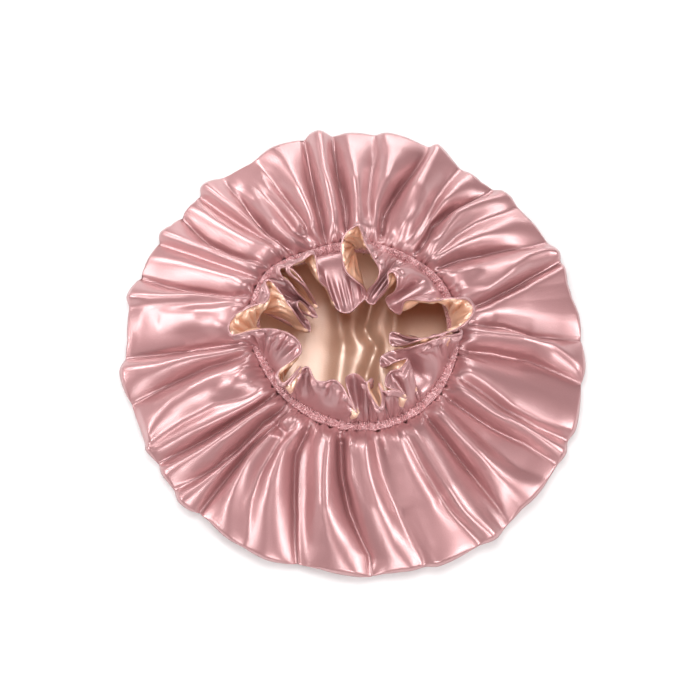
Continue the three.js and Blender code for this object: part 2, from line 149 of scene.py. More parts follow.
# The lines along which the crown's cloth is highest or lowest, in order round the bonnet, each as
# the photograph shows it in its pixels, from the casing to the rim, with its height over the plain
# crown in mm at its two ends and half way. Crests are above it, and creases and valleys below.
FOLD_LINES = [
    ((6, 9, 5), [(462, 334), (510, 339), (550, 346), (574, 366)]),
    ((-2, -4, -1), [(478, 326), (505, 327), (535, 336), (580, 340)]),
    ((4, 3, 2), [(475, 314), (510, 313), (545, 318), (578, 325)]),
    ((3, 5, 4), [(476, 310), (505, 299), (535, 283), (561, 270)]),
    ((-3, -4, -1), [(474, 306), (500, 294), (530, 278), (561, 262)]),
    ((6, 9, 6), [(462, 290), (485, 292), (505, 277), (525, 261), (545, 252), (557, 256)]),
    ((-3, -4, 0), [(436, 268), (460, 257), (490, 251), (540, 247)]),
    ((5, 6, 3), [(440, 258), (465, 245), (490, 236), (515, 223), (530, 225)]),
    ((0, 1, 1), [(440, 250), (452, 238), (475, 224), (508, 212)]),
    ((6, 10, 5), [(432, 254), (445, 238), (455, 220), (475, 207), (500, 198)]),
    ((-4, -4, -1), [(422, 246), (433, 224), (455, 209), (488, 194)]),
    ((2, 6, 4), [(426, 232), (440, 208), (455, 192), (469, 178)]),
    ((-2, -1, 0), [(424, 222), (436, 200), (448, 182), (460, 170)]),
    ((1, 9, 7), [(405, 240), (412, 215), (418, 190), (428, 165), (433, 148)]),
    ((-4, -5, -1), [(380, 238), (384, 212), (396, 192), (412, 173), (428, 154)]),
    ((4, 8, 5), [(374, 228), (378, 205), (387, 185), (390, 162), (384, 140)]),
    ((-2, -1, 0), [(371, 236), (368, 205), (370, 185), (375, 160), (376, 140)]),
    ((6, 9, 4), [(358, 232), (358, 205), (355, 180), (350, 155), (348, 138)]),
    ((-3, -4, -1), [(347, 232), (345, 205), (339, 180), (334, 155), (332, 138)]),
    ((6, 9, 7), [(335, 238), (335, 218), (330, 195), (323, 170), (319, 138)]),
    ((-3, -4, -2), [(326, 240), (320, 215), (314, 190), (308, 160), (305, 142)]),
    ((5, 7, 3), [(317, 240), (311, 215), (297, 185), (284, 160), (274, 150)]),
    ((-2, -2, 0), [(312, 238), (292, 208), (272, 180), (256, 160)]),
    ((6, 8, 2), [(321, 248), (300, 224), (283, 205), (269, 192)]),
    ((-2, -1, 0), [(311, 250), (294, 232), (278, 210), (268, 200)]),
    ((6, 8, 2), [(301, 252), (280, 237), (264, 214), (257, 200)]),
    ((-4, -5, -2), [(290, 250), (268, 233), (252, 216), (238, 196)]),
    ((2, 7, 6), [(278, 244), (247, 221), (225, 205), (206, 190)]),
    ((-2, -3, -2), [(272, 244), (245, 226), (222, 211), (201, 196)]),
    ((3, 2, 1), [(262, 248), (230, 230), (205, 214), (188, 205)]),
    ((-3, -5, -2), [(258, 262), (228, 252), (205, 240), (180, 216)]),
    ((3, 7, 5), [(262, 276), (230, 261), (198, 249), (164, 235)]),
    ((-2, -2, -2), [(261, 281), (230, 267), (197, 255), (160, 243)]),
    ((3, 3, 2), [(256, 286), (220, 275), (180, 264), (145, 258)]),
    ((-4, -5, -2), [(256, 297), (230, 296), (200, 291), (165, 284), (139, 277)]),
    ((4, 8, 7), [(252, 301), (205, 297), (170, 300), (132, 302)]),
    ((1, 3, 4), [(250, 305), (215, 305), (185, 306), (155, 305)]),
    ((5, 7, 3), [(250, 310), (215, 313), (185, 316), (150, 311)]),
    ((4, 2, 1), [(240, 330), (200, 331), (160, 332), (130, 332)]),
    ((-3, -5, -1), [(236, 343), (200, 347), (170, 351), (130, 358)]),
    ((3, 7, 7), [(230, 352), (195, 358), (160, 369), (126, 374)]),
    ((-3, -3, -1), [(238, 357), (205, 367), (180, 379), (136, 402)]),
    ((5, 9, 7), [(250, 365), (215, 380), (175, 403), (157, 425), (149, 449)]),
    ((1, 1, 2), [(255, 396), (215, 405), (185, 422), (158, 440)]),
    ((4, 6, 5), [(256, 402), (222, 419), (190, 432), (151, 451)]),
    ((-4, -4, -1), [(262, 403), (230, 424), (198, 443), (162, 462)]),
    ((6, 10, 5), [(283, 400), (255, 416), (225, 438), (195, 456), (170, 471)]),
    ((-4, -5, 0), [(282, 408), (262, 421), (240, 446), (215, 468), (178, 488)]),
    ((0, 4, 6), [(284, 411), (243, 447), (222, 464), (205, 483), (183, 501)]),
    ((-4, -5, -2), [(288, 413), (253, 446), (228, 475), (200, 512)]),
    ((6, 10, 4), [(298, 408), (275, 425), (253, 453), (238, 483), (229, 510), (228, 534)]),
    ((0, 1, 2), [(302, 420), (279, 443), (262, 470), (251, 500), (247, 540)]),
    ((5, 8, 5), [(305, 424), (285, 445), (275, 475), (268, 510), (268, 553)]),
    ((-4, -4, -2), [(307, 428), (294, 455), (293, 485), (294, 515), (297, 565)]),
    ((-1, -1, -1), [(312, 432), (308, 460), (308, 490), (306, 520), (306, 566)]),
    ((6, 10, 6), [(330, 436), (326, 465), (324, 500), (330, 535), (350, 572)]),
    ((-5, -6, -2), [(340, 434), (341, 475), (350, 515), (370, 556)]),
    ((5, 4, 2), [(350, 438), (349, 475), (360, 512), (382, 560)]),
    ((6, 9, 5), [(363, 436), (367, 475), (378, 512), (392, 545), (408, 568)]),
    ((-3, 0, 1), [(372, 432), (382, 475), (398, 512), (422, 556)]),
    ((2, 3, 6), [(384, 432), (398, 465), (415, 505), (437, 564)]),
    ((4, 4, 2), [(394, 430), (410, 470), (435, 510), (464, 545)]),
    ((0, -1, 0), [(404, 430), (425, 470), (450, 510), (478, 541)]),
    ((5, 9, 6), [(412, 430), (430, 460), (447, 488), (464, 513), (492, 535)]),
    ((3, 1, 1), [(420, 420), (445, 450), (466, 480), (484, 508), (500, 530)]),
    ((-4, -5, 0), [(426, 414), (450, 444), (474, 474), (498, 506), (508, 524)]),
    ((5, 8, 5), [(432, 404), (452, 428), (475, 452), (500, 478), (528, 497)]),
    ((0, 0, 1), [(437, 398), (460, 420), (490, 448), (520, 470), (545, 478)]),
    ((-4, -4, 0), [(440, 392), (465, 408), (495, 428), (525, 443), (556, 464)]),
    ((6, 10, 6), [(445, 380), (465, 392), (490, 413), (520, 427), (560, 452)]),
    ((-2, -1, -1), [(450, 376), (480, 392), (505, 411), (530, 424), (566, 440)]),
    ((6, 8, 6), [(450, 369), (470, 374), (490, 390), (510, 409), (535, 423), (571, 430)]),
    ((3, 4, 4), [(460, 358), (495, 371), (530, 387), (574, 410)]),
    ((-4, -5, -1), [(462, 349), (495, 351), (530, 358), (580, 384)]),
]

# How charted lines become folds: the scale of their heights, how full the cloth's rounding is
# beside a crest, how far in mm crests are smoothed round the bonnet, and in how many rounds along
# the rows. Past its outer end a fold fades out over FOLD_FADE of the way from casing to rim.
FOLD_SCALE = 1.35
CREST_POWER = 1.7
CREST_ROUNDING = 1.9
CREST_ROUNDS = 6
FOLD_FADE = 0.2

# Lines that are lower than CREASE_FROM half way also have a narrow crease, a share of their depth
CREASE_FROM = -1
CREASE_SHARE = 0.8
CREASE_WIDTH = 2

# Folds reach their full height this far from the casing, and end this far past the rim, in mm
FOLD_START = 14
FOLD_END = 22

# Towards the rim folds rise less along the cloth's normal and more straight up
RIM_LIFT = 0.6
RIM_LIFT_POWER = 4

# The crown's outline in the photograph, in its pixels, anticlockwise from the left
RIM_OUTLINE = [
    (128, 340), (124, 372), (128, 395), (133, 410), (141, 430), (148, 448), (160, 467), (170, 482),
    (180, 499), (190, 509), (210, 521), (230, 538), (250, 550), (270, 559), (290, 564), (320, 568),
    (350, 573), (370, 577), (385, 573), (400, 570), (430, 565), (437, 564), (460, 555), (480, 545),
    (500, 533), (510, 522), (520, 508), (530, 499), (545, 483), (557, 465), (565, 447), (571, 432),
    (577, 410), (581, 390), (583, 365), (582, 345), (580, 330), (577, 315), (570, 300), (565, 285),
    (562, 265), (556, 255), (540, 235), (525, 218), (510, 200), (500, 193), (480, 184), (465, 174),
    (450, 162), (435, 149), (420, 145), (405, 140), (390, 137), (370, 136), (340, 137), (320, 136),
    (310, 137), (290, 143), (272, 150), (250, 164), (230, 175), (215, 182), (203, 190), (195, 202),
    (185, 212), (172, 228), (162, 236), (153, 253), (145, 268), (138, 280), (133, 292), (130, 303),
]

# Rounded puffs just outside the casing: middle, half length and half width in pixels, and height
# in mm. PUFF_SPREAD turns the half sizes into the spread of a bump, and PUFF_POWER shapes it.
PUFFS = [
    (242, 383, 17, 13, 6), (250, 354, 13, 6, 4), (271, 393, 8, 5, 3), (268, 378, 7, 4, 3),
    (301, 417, 8, 8, 4), (329, 433, 9, 7, 5), (350, 440, 10, 5, 4), (366, 434, 10, 4, 3),
    (405, 428, 10, 6, 3), (437, 396, 10, 6, 3), (449, 375, 12, 6, 4), (474, 324, 11, 7, 5),
    (467, 272, 18, 9, 6), (437, 272, 7, 5, 3), (428, 246, 10, 6, 5), (410, 226, 20, 15, 5),
    (402, 228, 12, 5, 3), (368, 229, 10, 5, 4), (275, 250, 17, 10, 5), (257, 261, 15, 8, 5),
    (245, 289, 13, 6, 4), (225, 330, 18, 12, 5), (295, 404, 8, 6, 3), (385, 246, 10, 6, 3),
]
PUFF_SCALE = 0.7
PUFF_SPREAD = 0.62
PUFF_POWER = 1.1

# The lining as it lies, without folds, in the crown's terms, and the folds on its way to the rim
LINING_TOP = [(69.5, 38), (73, 33), (90, 22), (120, 13), (145, 8.5), (154, 8), (157, 7.5)]
LINING_UNDER = [
    (155, 6), (148, 4), (135, 3), (110, 2.8), (80, 2.8), (50, 2.8), (20, 2.8), (2, 2.8),
]
LINING_START = LINING_TOP[0][0]
LINING_RIM = LINING_TOP[-1][0]
LINING_COLUMNS = 480
LINING_ROWS = 150
LINING_FOLDS = 41
LINING_FOLD_HEIGHT = 8
LINING_FOLD_SWAY = 2
LINING_FOLD_SWAYS = 3

# Wrinkles on the floor of the opening: start and end in plan, height and width
FLOOR_WRINKLES = [
    ((13, 44), (8, 22), 5, 6),
    ((8, 22), (16, 8), 5, 5.5),
    ((16, 8), (9, -14), 5, 6.5),
    ((9, -14), (12, -60), 4, 8),
    ((-13, 44), (-9, 10), 3.5, 9),
    ((-9, 10), (-16, -50), 3.5, 10),
    ((32, 36), (28, -4), 3, 8),
    ((30, -6), (40, -44), 3.5, 9),
    ((-46, 20), (-50, -20), 2, 12),
]

# How steeply a wrinkle's sides fall, and how far in mm it runs out past its ends
WRINKLE_POWER = 1.5
WRINKLE_END = 9

# The frill's free edge as the photograph shows it, in its pixels, round the casing from the tip of
# the right-hand loop
FRILL_EDGE = [
    (473.5, 308), (468, 300), (456, 298.5), (430, 301), (404, 302), (400, 314), (389.6, 307),
    (386, 298), (395, 291.8), (396.8, 277.5), (393, 271.7), (388, 273), (388.8, 282),
    (385.2, 290.9), (378, 299), (372.7, 304.3), (366.4, 300.7), (367.3, 292.7), (378, 279.3),
    (379.8, 270.4), (374.5, 259.6), (365.5, 243.6), (362, 232.9), (357.5, 224.8), (354.3, 226.6),
    (343.6, 237.3), (342.7, 259.6), (347, 273), (353.9, 279.3), (365.5, 290.9), (364.6, 298),
    (358.4, 304), (349, 312.3), (340, 311.4), (331, 297), (326.6, 287.3), (320.4, 282),
    (317.7, 270.4), (312.8, 253.4), (304.3, 258.8), (289, 267.7), (308, 290), (318, 308),
    (308.8, 290.9), (299.8, 277.5), (290.9, 268.6), (284.6, 266.8), (279.3, 268.6), (281, 275.7),
    (290.9, 283.8), (295.4, 290.9), (304.3, 299.8), (313.2, 308.8), (317, 318), (313.2, 315.9),
    (304.3, 304.3), (298, 300.7), (297, 303), (302, 314), (310, 326), (309.6, 332),
    (304.3, 326.6), (295.4, 314), (286.4, 301.6), (277.5, 289), (267.7, 280), (265, 281.5),
    (267.7, 288), (269.5, 295.4), (265, 302.5), (255, 305), (244.5, 309.6), (232.9, 317.7),
    (228.4, 326.6), (229.7, 333), (253.4, 330.5), (268.6, 329), (281, 331), (292.7, 336),
    (300.7, 345.7), (300.7, 352.9), (294.5, 358.7), (292.7, 360), (277.5, 376), (281, 383),
    (300.7, 367), (288, 386), (307.9, 367), (316, 381), (325, 382), (333, 380), (340, 384),
    (347, 395), (356.5, 412), (347, 386), (346, 378), (355, 374), (362, 378), (366, 383),
    (372.7, 378), (368, 381.4), (371.8, 397.5), (380.7, 408.2), (382.5, 399), (379, 383),
    (383.4, 392), (391.4, 390.4), (405, 394.5), (395, 389.5), (386, 386), (387, 376),
    (390.5, 371.6), (400.4, 369), (407.5, 358.7), (395, 362), (381.6, 367), (380.7, 358.2),
    (390, 352), (405, 349), (425, 343.5), (445, 336.5), (460.6, 331), (459, 329), (445, 333),
    (420, 340), (400, 345.5), (391.4, 344.8), (390.5, 333.2), (410, 338), (425, 338.5),
    (445, 333), (463, 325), (471, 317),
]
FRILL_WIDTH = 42
FRILL_FOOT_RADIUS = 71.5
FRILL_COLUMNS = 1056
FRILL_ROWS = 25

# How high the edge stands: the frill reaches it almost taut, from a foot that is sunk in the
# casing. The first guess of its rise only starts the rounds that find it.
FRILL_TAUTNESS = 0.97
FRILL_LEAST_RISE = 7
FRILL_FIRST_RISE = 18
FRILL_SUNK = 0.5
EDGE_ROUNDS = 2

# The foot follows the edge round the casing, averaged over FOOT_REACH columns each way, and goes
# on by at least a share of an even step
FOOT_REACH = 42
FOOT_LEAST_STEP = 0.25

# The frill's charted path from foot to edge: how far it first goes up, and how far below and
# inside the edge it comes from, as shares of the way
FOOT_UPWARDS = 0.38
EDGE_OUTWARDS = 0.22
EDGE_UPWARDS = 0.12

# The frill's cut length, as a share of its edge's at shares of its width, and at most this much
# more than its charted length
FRILL_FULLNESS = [(0, 0.42), (0.08, 0.75), (0.3, 0.95), (0.6, 1), (1, 1)]
FRILL_FULLEST = 1.22

# Puckers near the foot, in mm, over a share of the width
PUCKER_HEIGHT = 0.35
PUCKER_WAVES = (range(30, 80), 0.0)
PUCKER_REACH = 0.4

# How the frill's cloth settles: rounds, the pull of its charted places, and its stiffness in its
# length, its width, aslant and against bending
SETTLE_ROUNDS = 160
CHART_PULL = 0.01
STIFF_AROUND = 0.9
STIFF_ALONG = 0.5
STIFF_ASLANT = 0.35
STIFF_BENDING = 0.12

# The frill's two layers, the seam that presses them together, and the roll of their joined edge
FRILL_LAYER_GAP = 1.5
FRILL_SEAM_IN = 3.4
FRILL_SEAM_WIDTH = 1.2
FRILL_SEAM_PRESS = 0.8
EDGE_ROLL = 0.75
EDGE_SIDES = 10

# Satin: what all its colours share, and its grain, which is stretched along the floats and has a
# depth in metres
SATIN = {
    "Specular IOR Level": 0.6,
    "Coat Weight": 0.85,
    "Coat Roughness": 0.3,
    "Coat IOR": 1.9,
    "Sheen Weight": 0.15,
    "Sheen Roughness": 0.45,
}
GRAIN_SCALE = (600, 1500, 1)
GRAIN_DETAIL = 2
GRAIN_STRENGTH = 0.3
GRAIN_DEPTH = 0.0004

# The lamps: place and size in metres, and power in watts. Each one faces the middle of the bonnet.
LAMPS = {
    "key": ((-0.9, 0.9, 0.85), (0.4, 0.4), 8),
    "overhead": ((0.0, 0.1, 1.5), (0.7, 0.7), 11),
    "side_right": ((1.35, -0.3, 0.95), (1.2, 0.22), 14),
    "side_left": ((-1.45, -0.1, 0.8), (1.2, 0.22), 12),
    "front": ((0.0, -1.5, 1.1), (1.4, 0.22), 15),
    "back": ((0.3, 1.6, 0.5), (1.4, 0.3), 12),
}
LAMPS_FACE = (0, 0, 0.03)

# The studio's own light: greys at two heights of the sky, and its strength
SKY_GREYS = [(0.3, 0.6), (0.75, 0.45)]
SKY_STRENGTH = 0.18

# The floor: half its side in metres, and its look
FLOOR_HALF = 6
FLOOR_GREY = 0.9
FLOOR_ROUGHNESS = 0.9


# Curves and grids

def hermite(before, after, slope_before, slope_after, span, t):
    """A cubic from one value to the next, with a slope at each."""
    return (
        (1 + 2 * t) * (1 - t) ** 2 * before
        + t * (1 - t) ** 2 * span * slope_before
        + t * t * (3 - 2 * t) * after
        + t * t * (t - 1) * span * slope_after
    )


def smooth_curve(places, values, at):
    """A smooth curve through values (one row each) at rising places, read at an array of places."""
    places = np.asarray(places, float)
    values = np.asarray(values, float)
    slopes = np.gradient(values, places, axis=0)
    at = np.asarray(at, float)
    i = np.clip(np.searchsorted(places, at, side="right") - 1, 0, len(places) - 2)
    span = places[i + 1] - places[i]
    t = (at - places[i]) / span
    if values.ndim > 1:
        span = span[..., None]
        t = t[..., None]
    return hermite(values[i], values[i + 1], slopes[i], slopes[i + 1], span, t)


def closed_curve(rows, degrees):
    """A smooth closed curve through rows of (degrees, value), read at an array of degrees."""
    places = np.array([row[0] for row in rows], float)
    values = np.array([row[1] for row in rows], float)
    laps = np.concatenate([places - 360, places, places + 360])
    return smooth_curve(laps, np.tile(values, 3), np.mod(degrees, 360))


def lengths_along(points):
    """The length of a line of points up to each of them."""
    steps = np.linalg.norm(np.diff(points, axis=0), axis=1)
    return np.concatenate([[0], np.cumsum(steps)])


def eased(share):
    """A share cut off at 0 and 1, with a soft start and end."""
    share = np.clip(share, 0, 1)
    return share * share * (3 - 2 * share)


def round_angles(columns):
    """Even angles round the bonnet, one for each column."""
    return np.linspace(0, TURN, columns, endpoint=False)


def wrapped(angle):
    """Angles in radians brought between minus half a turn and half a turn."""
    return np.mod(angle + math.pi, TURN) - math.pi


def noise_round(random, columns, waves, decay):
    """A smooth closed curve of random waves, about 1 high."""
    angle = round_angles(columns)
    total = np.zeros(columns)
    weights = 0
    for wave in waves:
        weight = wave ** -decay
        total += weight * np.cos(wave * angle + random.uniform(0, TURN))
        weights += weight * weight / 2
    return total / math.sqrt(weights)


def ring_points(reach, angle, shift, heights):
    """Points at distances and angles round a middle that is moved back by "shift"."""
    x = reach * np.cos(angle)
    y = reach * np.sin(angle) + shift
    return np.stack(np.broadcast_arrays(x, y, heights), -1)


def grid_normals(points):
    """The direction out of a grid whose columns close round the bonnet."""
    around = np.roll(points, -1, axis=1) - np.roll(points, 1, axis=1)
    along = np.empty_like(points)
    along[1:-1] = points[2:] - points[:-2]
    along[0] = points[1] - points[0]
    along[-1] = points[-1] - points[-2]
    normals = np.cross(around, along)
    return normals / (np.linalg.norm(normals, axis=-1, keepdims=True) + TINY)


def grid_mesh(name, points, flat, material, tip=None, flip=False):
    """A mesh from a grid whose columns close, with its cut shape "flat" as its UV map.

    "tip" is a point that closes the last row.
    """
    rows, columns, _ = points.shape
    i, j = np.meshgrid(np.arange(rows - 1), np.arange(columns), indexing="ij")
    here = i * columns + j
    beside = i * columns + (j + 1) % columns
    faces = np.stack([here, beside, beside + columns, here + columns], -1).reshape(-1, 4)
    if flip:
        faces = faces[:, ::-1]
    faces = faces.tolist()
    vertices = (points.reshape(-1, 3) * MM).tolist()
    places = flat.reshape(-1, 2)
    if tip is not None:
        last = (rows - 1) * columns
        vertices.append([c * MM for c in tip])
        places = np.vstack([places, [0, 0]])
        ring = [[last + j, last + (j + 1) % columns, len(vertices) - 1] for j in range(columns)]
        faces += [face[::-1] for face in ring] if flip else ring
    mesh = bpy.data.meshes.new(name)
    mesh.from_pydata(vertices, [], faces)
    mesh.polygons.foreach_set("use_smooth", [True] * len(mesh.polygons))
    corners = np.empty(len(mesh.loops), int)
    mesh.loops.foreach_get("vertex_index", corners)
    layer = mesh.uv_layers.new(name="cut")
    layer.data.foreach_set("uv", (places[corners] * MM).ravel())
    mesh.materials.append(material)
    obj = bpy.data.objects.new(name, mesh)
    bpy.context.collection.objects.link(obj)
    return obj


# The photograph's camera

def camera_axes():
    """The camera's place, and its directions to the right, upwards and forwards."""
    sine, cosine = math.sin(VIEW_ELEVATION), math.cos(VIEW_ELEVATION)
    right = np.array([1.0, 0, 0])
    up = np.array([0, sine, cosine])
    forward = np.array([0, cosine, -sine])
    across = pixel_slope(MIDDLE_PIXEL[0] - PICTURE / 2) * VIEW_DISTANCE
    down = pixel_slope(MIDDLE_PIXEL[1] - PICTURE / 2) * VIEW_DISTANCE
    middle = np.array([0, 0, RIM_HEIGHT])
    return middle - forward * VIEW_DISTANCE - right * across + up * down, right, up, forward


def pixel_slope(pixels):
    """The slope of a ray that passes the picture's middle at a distance in pixels."""
    return pixels / PICTURE * SENSOR / LENS


def seen_at(pixels, heights):
    """The points at given heights that the camera sees in given pixels."""
    place, right, up, forward = camera_axes()
    across = pixel_slope(pixels[:, 0] - PICTURE / 2)[:, None]
    above = pixel_slope(PICTURE / 2 - pixels[:, 1])[:, None]
    rays = forward + across * right + above * up
    reach = (heights - place[2]) / rays[:, 2]
    return place + rays * reach[:, None]


# The casing

def casing_radius(angle):
    """The radius of the casing's middle at angles in radians."""
    return CASING_RADIUS * closed_curve(CASING_OUTLINE, np.degrees(angle))


def make_casing(material):
    """The shirred channel of the elastic: zigzag pleats over a low arch, pinched by two seams."""
    random = np.random.default_rng(SEED + 1)
    angle = round_angles(CASING_COLUMNS)
    across = np.linspace(-1, 1, CASING_ROWS)[:, None]
    wander = noise_round(random, CASING_COLUMNS, *WANDER_WAVES)
    relief = RELIEF_MEAN + RELIEF_VARIES * noise_round(random, CASING_COLUMNS, *RELIEF_WAVES)
    slant = PLEAT_SLANT * np.sin(PLEAT_SLANT_TURNS * TURN * across)
    pleat = np.abs(np.sin(PLEATS * angle + PLEAT_WANDER * wander + slant)) ** PLEAT_POWER
    fine = np.sin(THREADS * angle + THREAD_WANDER * wander - THREAD_SLANT * across)
    arch = np.sqrt(np.maximum(1 - across * across, 0))
    pinch = SEAM_PINCH * np.exp(-((np.abs(across) - SEAM_PLACE) / SEAM_WIDTH) ** 2)
    lift = relief * (PLEAT_SHARE * pleat + THREAD_SHARE * fine) - pinch
    reach = casing_radius(angle) - CASING_WIDTH / 2 * across + SIDE_SPLAY * across * pleat
    rise = CASING_RISE * arch * (RISE_LEAST + RISE_BY_RELIEF * lift)
    points = ring_points(reach, angle, CASING_CENTRE_Y, CASING_TOP - CASING_SUNK + rise)
    flat = np.stack(np.meshgrid(CASING_RADIUS * angle, across[:, 0] * CASING_CUT_HALF), -1)
    obj = grid_mesh("casing_gathers", points, flat, material)
    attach(obj, BODY)
    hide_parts("elastic_casing")


# The bags: what the crown and its lining share

def plain_rows(top, under, distance):
    """The radii and heights of a bag's profile at distances from the casing."""
    profile = np.array(top + under, float)
    curve = smooth_curve(lengths_along(profile), profile, distance)
    return curve[:, 0], curve[:, 1]


def gathers(points, distance, random):
    """Small pleats where a bag goes into the casing: the finest fade first."""
    columns = points.shape[1]
    angle = round_angles(columns)
    total = np.zeros(points.shape[:2])
    for count, high, reach in GATHERS:
        sway = GATHER_SWAY * noise_round(random, columns, *GATHER_SWAY_WAVES)
        strength = 1 + GATHER_VARIES * noise_round(random, columns, *GATHER_VARIES_WAVES)
        wave = np.sin(count * angle + sway)
        fade = np.exp(-distance / reach) * np.clip(distance / GATHER_START, GATHER_AT_START, 1)
        total += high * fade[:, None] * (strength * wave)[None, :]
    return total[..., None] * grid_normals(points)


def bag_mesh(name, points, distance, radii, material):
    """A bag from its casing to its middle, cut as a disc and closed at its last row."""
    cut = CUT_RADIUS * (1 - distance / (distance[-1] + radii[-1]))[:, None]
    angle = round_angles(points.shape[1])
    flat = np.stack([cut * np.cos(angle), cut * np.sin(angle)], -1)
    tip = (0, 0, points[-1, :, 2].mean())
    return grid_mesh(name, points, flat, material, tip, flip=True)


# The crown

def rim_radius(angle):
    """The radius of the crown's outline at angles in radians."""
    pixels = np.array(RIM_OUTLINE, float)
    x, y, _ = seen_at(pixels, np.full(len(pixels), RIM_HEIGHT)).T
    places = np.unwrap(np.arctan2(y, x))
    laps = np.concatenate([places - TURN, places, places + TURN])
    reach = np.tile(np.hypot(x, y), 3)
    at = places[0] + np.mod(angle - places[0], TURN)
    return np.interp(at, laps, reach)


def crown_start(angle):
    """The radius at which the crown starts from the casing."""
    return casing_radius(angle) + CROWN_START - CASING_RADIUS


def crown_plain(radii, heights, inward, angle):
    """Points of the crown without folds, on rows that are "inward" of the way to the casing."""
    angle = angle[None, :]
    radii = radii[:, None]
    inward = inward[:, None]
    rim = rim_radius(angle[0])[None, :]
    on_top = (np.arange(len(radii)) < CROWN_TOP_ROWS)[:, None]
    under = radii * (1 + (rim / RIM_RADIUS - 1) * (radii / RIM_RADIUS) ** OUTLINE_FADE)
    reach = np.where(on_top, rim + (crown_start(angle) - rim) * inward, under)
    return ring_points(reach, angle, CASING_CENTRE_Y * inward, heights[:, None])


def crown_places(pixels, curve):
    """Where the camera sees the crown's top in given pixels: shares inwards and angles.

    "curve" holds the plain crown's rows, as (share inwards, height).
    """
    inward = np.full(len(pixels), 0.5)
    for _ in range(PLACING_ROUNDS):
        x, y, _ = seen_at(pixels, np.interp(inward, *curve)).T
        y = y - CASING_CENTRE_Y * inward
        angle = np.arctan2(y, x)
        rim = rim_radius(angle)
        share = (rim - np.hypot(x, y)) / (rim - crown_start(angle))
        inward = 0.5 * inward + 0.5 * np.clip(share, 0, 1)
    return inward, angle


def fold_line(heights, line, inward, curve):
    """A charted line's angle and height in each row."""
    shares, angles = crown_places(np.array(line, float), curve)
    order = np.argsort(shares)
    shares, angles = shares[order], np.unwrap(angles[order])
    within = np.clip(inward, shares[0], shares[-1])
    going = np.clip((within - shares[0]) / (shares[-1] - shares[0]), 0, 1)
    height = np.interp(going, [0, 0.5, 1], heights[::-1])
    past = eased((shares[0] - inward) / FOLD_FADE)
    return np.interp(within, shares, angles), height * (1 - past)


def fold_row(places, heights, angle):
    """The cloth's height round one row, between lines at places and heights.

    It leaves a crest slowly, as over a tube, and meets a valley steeply.
    """
    places = np.mod(places, TURN)
    order = np.argsort(places)
    at = places[order]
    high = heights[order]
    at = np.concatenate([[at[-1] - TURN], at, [at[0] + TURN]])
    high = np.concatenate([[high[-1]], high, [high[0]]])
    k = np.clip(np.searchsorted(at, angle, side="right") - 1, 0, len(at) - 2)
    t = (angle - at[k]) / (at[k + 1] - at[k] + TINY)
    power = np.where(high > np.maximum(np.roll(high, 1), np.roll(high, -1)), CREST_POWER, 1)
    falling = high[k + 1] < high[k]
    share = np.where(falling, 1 - t ** power[k], 1 - (1 - t) ** power[k + 1])
    return np.minimum(high[k], high[k + 1]) + np.abs(high[k + 1] - high[k]) * share


def rounded(heights, radii, angle):
    """Rounds a sheet's crests off, round the bonnet and along its rows."""
    waves = np.fft.rfftfreq(len(angle), angle[1] - angle[0]) * TURN
    spread = CREST_ROUNDING / radii[:, None] * waves[None, :]
    softened = np.fft.rfft(heights, axis=1) * np.exp(-spread ** 2 / 2)
    heights = np.fft.irfft(softened, len(angle), axis=1)
    for _ in range(CREST_ROUNDS):
        padded = np.vstack([heights[:1], heights, heights[-1:]])
        heights = (padded[:-2] + 2 * heights + padded[2:]) / 4
    return heights


def crown_folds(inward, radii, angle, curve):
    """The height of the folds over the plain crown."""
    lines = [fold_line(heights, line, inward, curve) for heights, line in FOLD_LINES]
    places = np.array([place for place, _ in lines])
    heights = np.array([height for _, height in lines])
    rows = [fold_row(places[:, i], heights[:, i], angle) for i in range(len(inward))]
    total = rounded(np.array(rows), radii, angle)
    for k, ((_, half_way, _), _) in enumerate(FOLD_LINES):
        if half_way < CREASE_FROM:
            off = wrapped(angle[None, :] - places[k][:, None]) * radii[:, None] / CREASE_WIDTH
            total += CREASE_SHARE * heights[k][:, None] * np.exp(-off * off)
    return total


def crown_puffs(inward, radii, angle, curve):
    """The height of the puffs just outside the casing."""
    height = np.zeros((len(inward), len(angle)))
    depth = RIM_RADIUS - CROWN_START
    spread = VIEW_DISTANCE * pixel_slope(1) * PUFF_SPREAD
    for x, y, half_long, half_wide, high in PUFFS:
        share, place = crown_places(np.array([[x, y]], float), curve)
        off = wrapped(angle - place[0])[None, :] * radii[:, None] / (half_wide * spread)
        out = (inward - share[0])[:, None] * depth / (half_long * spread)
        height += PUFF_SCALE * high * np.exp(-((off * off + out * out) / 2) ** PUFF_POWER)
    return height


def crown_distances():
    """How far from the casing each of the crown's rows is, along the cloth."""
    lengths = lengths_along(np.array(CROWN_TOP + CROWN_UNDER, float))
    rim = lengths[len(CROWN_TOP) - 1]
    share = np.linspace(0, 1, CROWN_UNDER_ROWS + 1)[1:]
    share = UNDER_EVEN * share + (1 - UNDER_EVEN) * share ** 2
    return np.concatenate([np.linspace(0, rim, CROWN_TOP_ROWS), rim + (lengths[-1] - rim) * share])


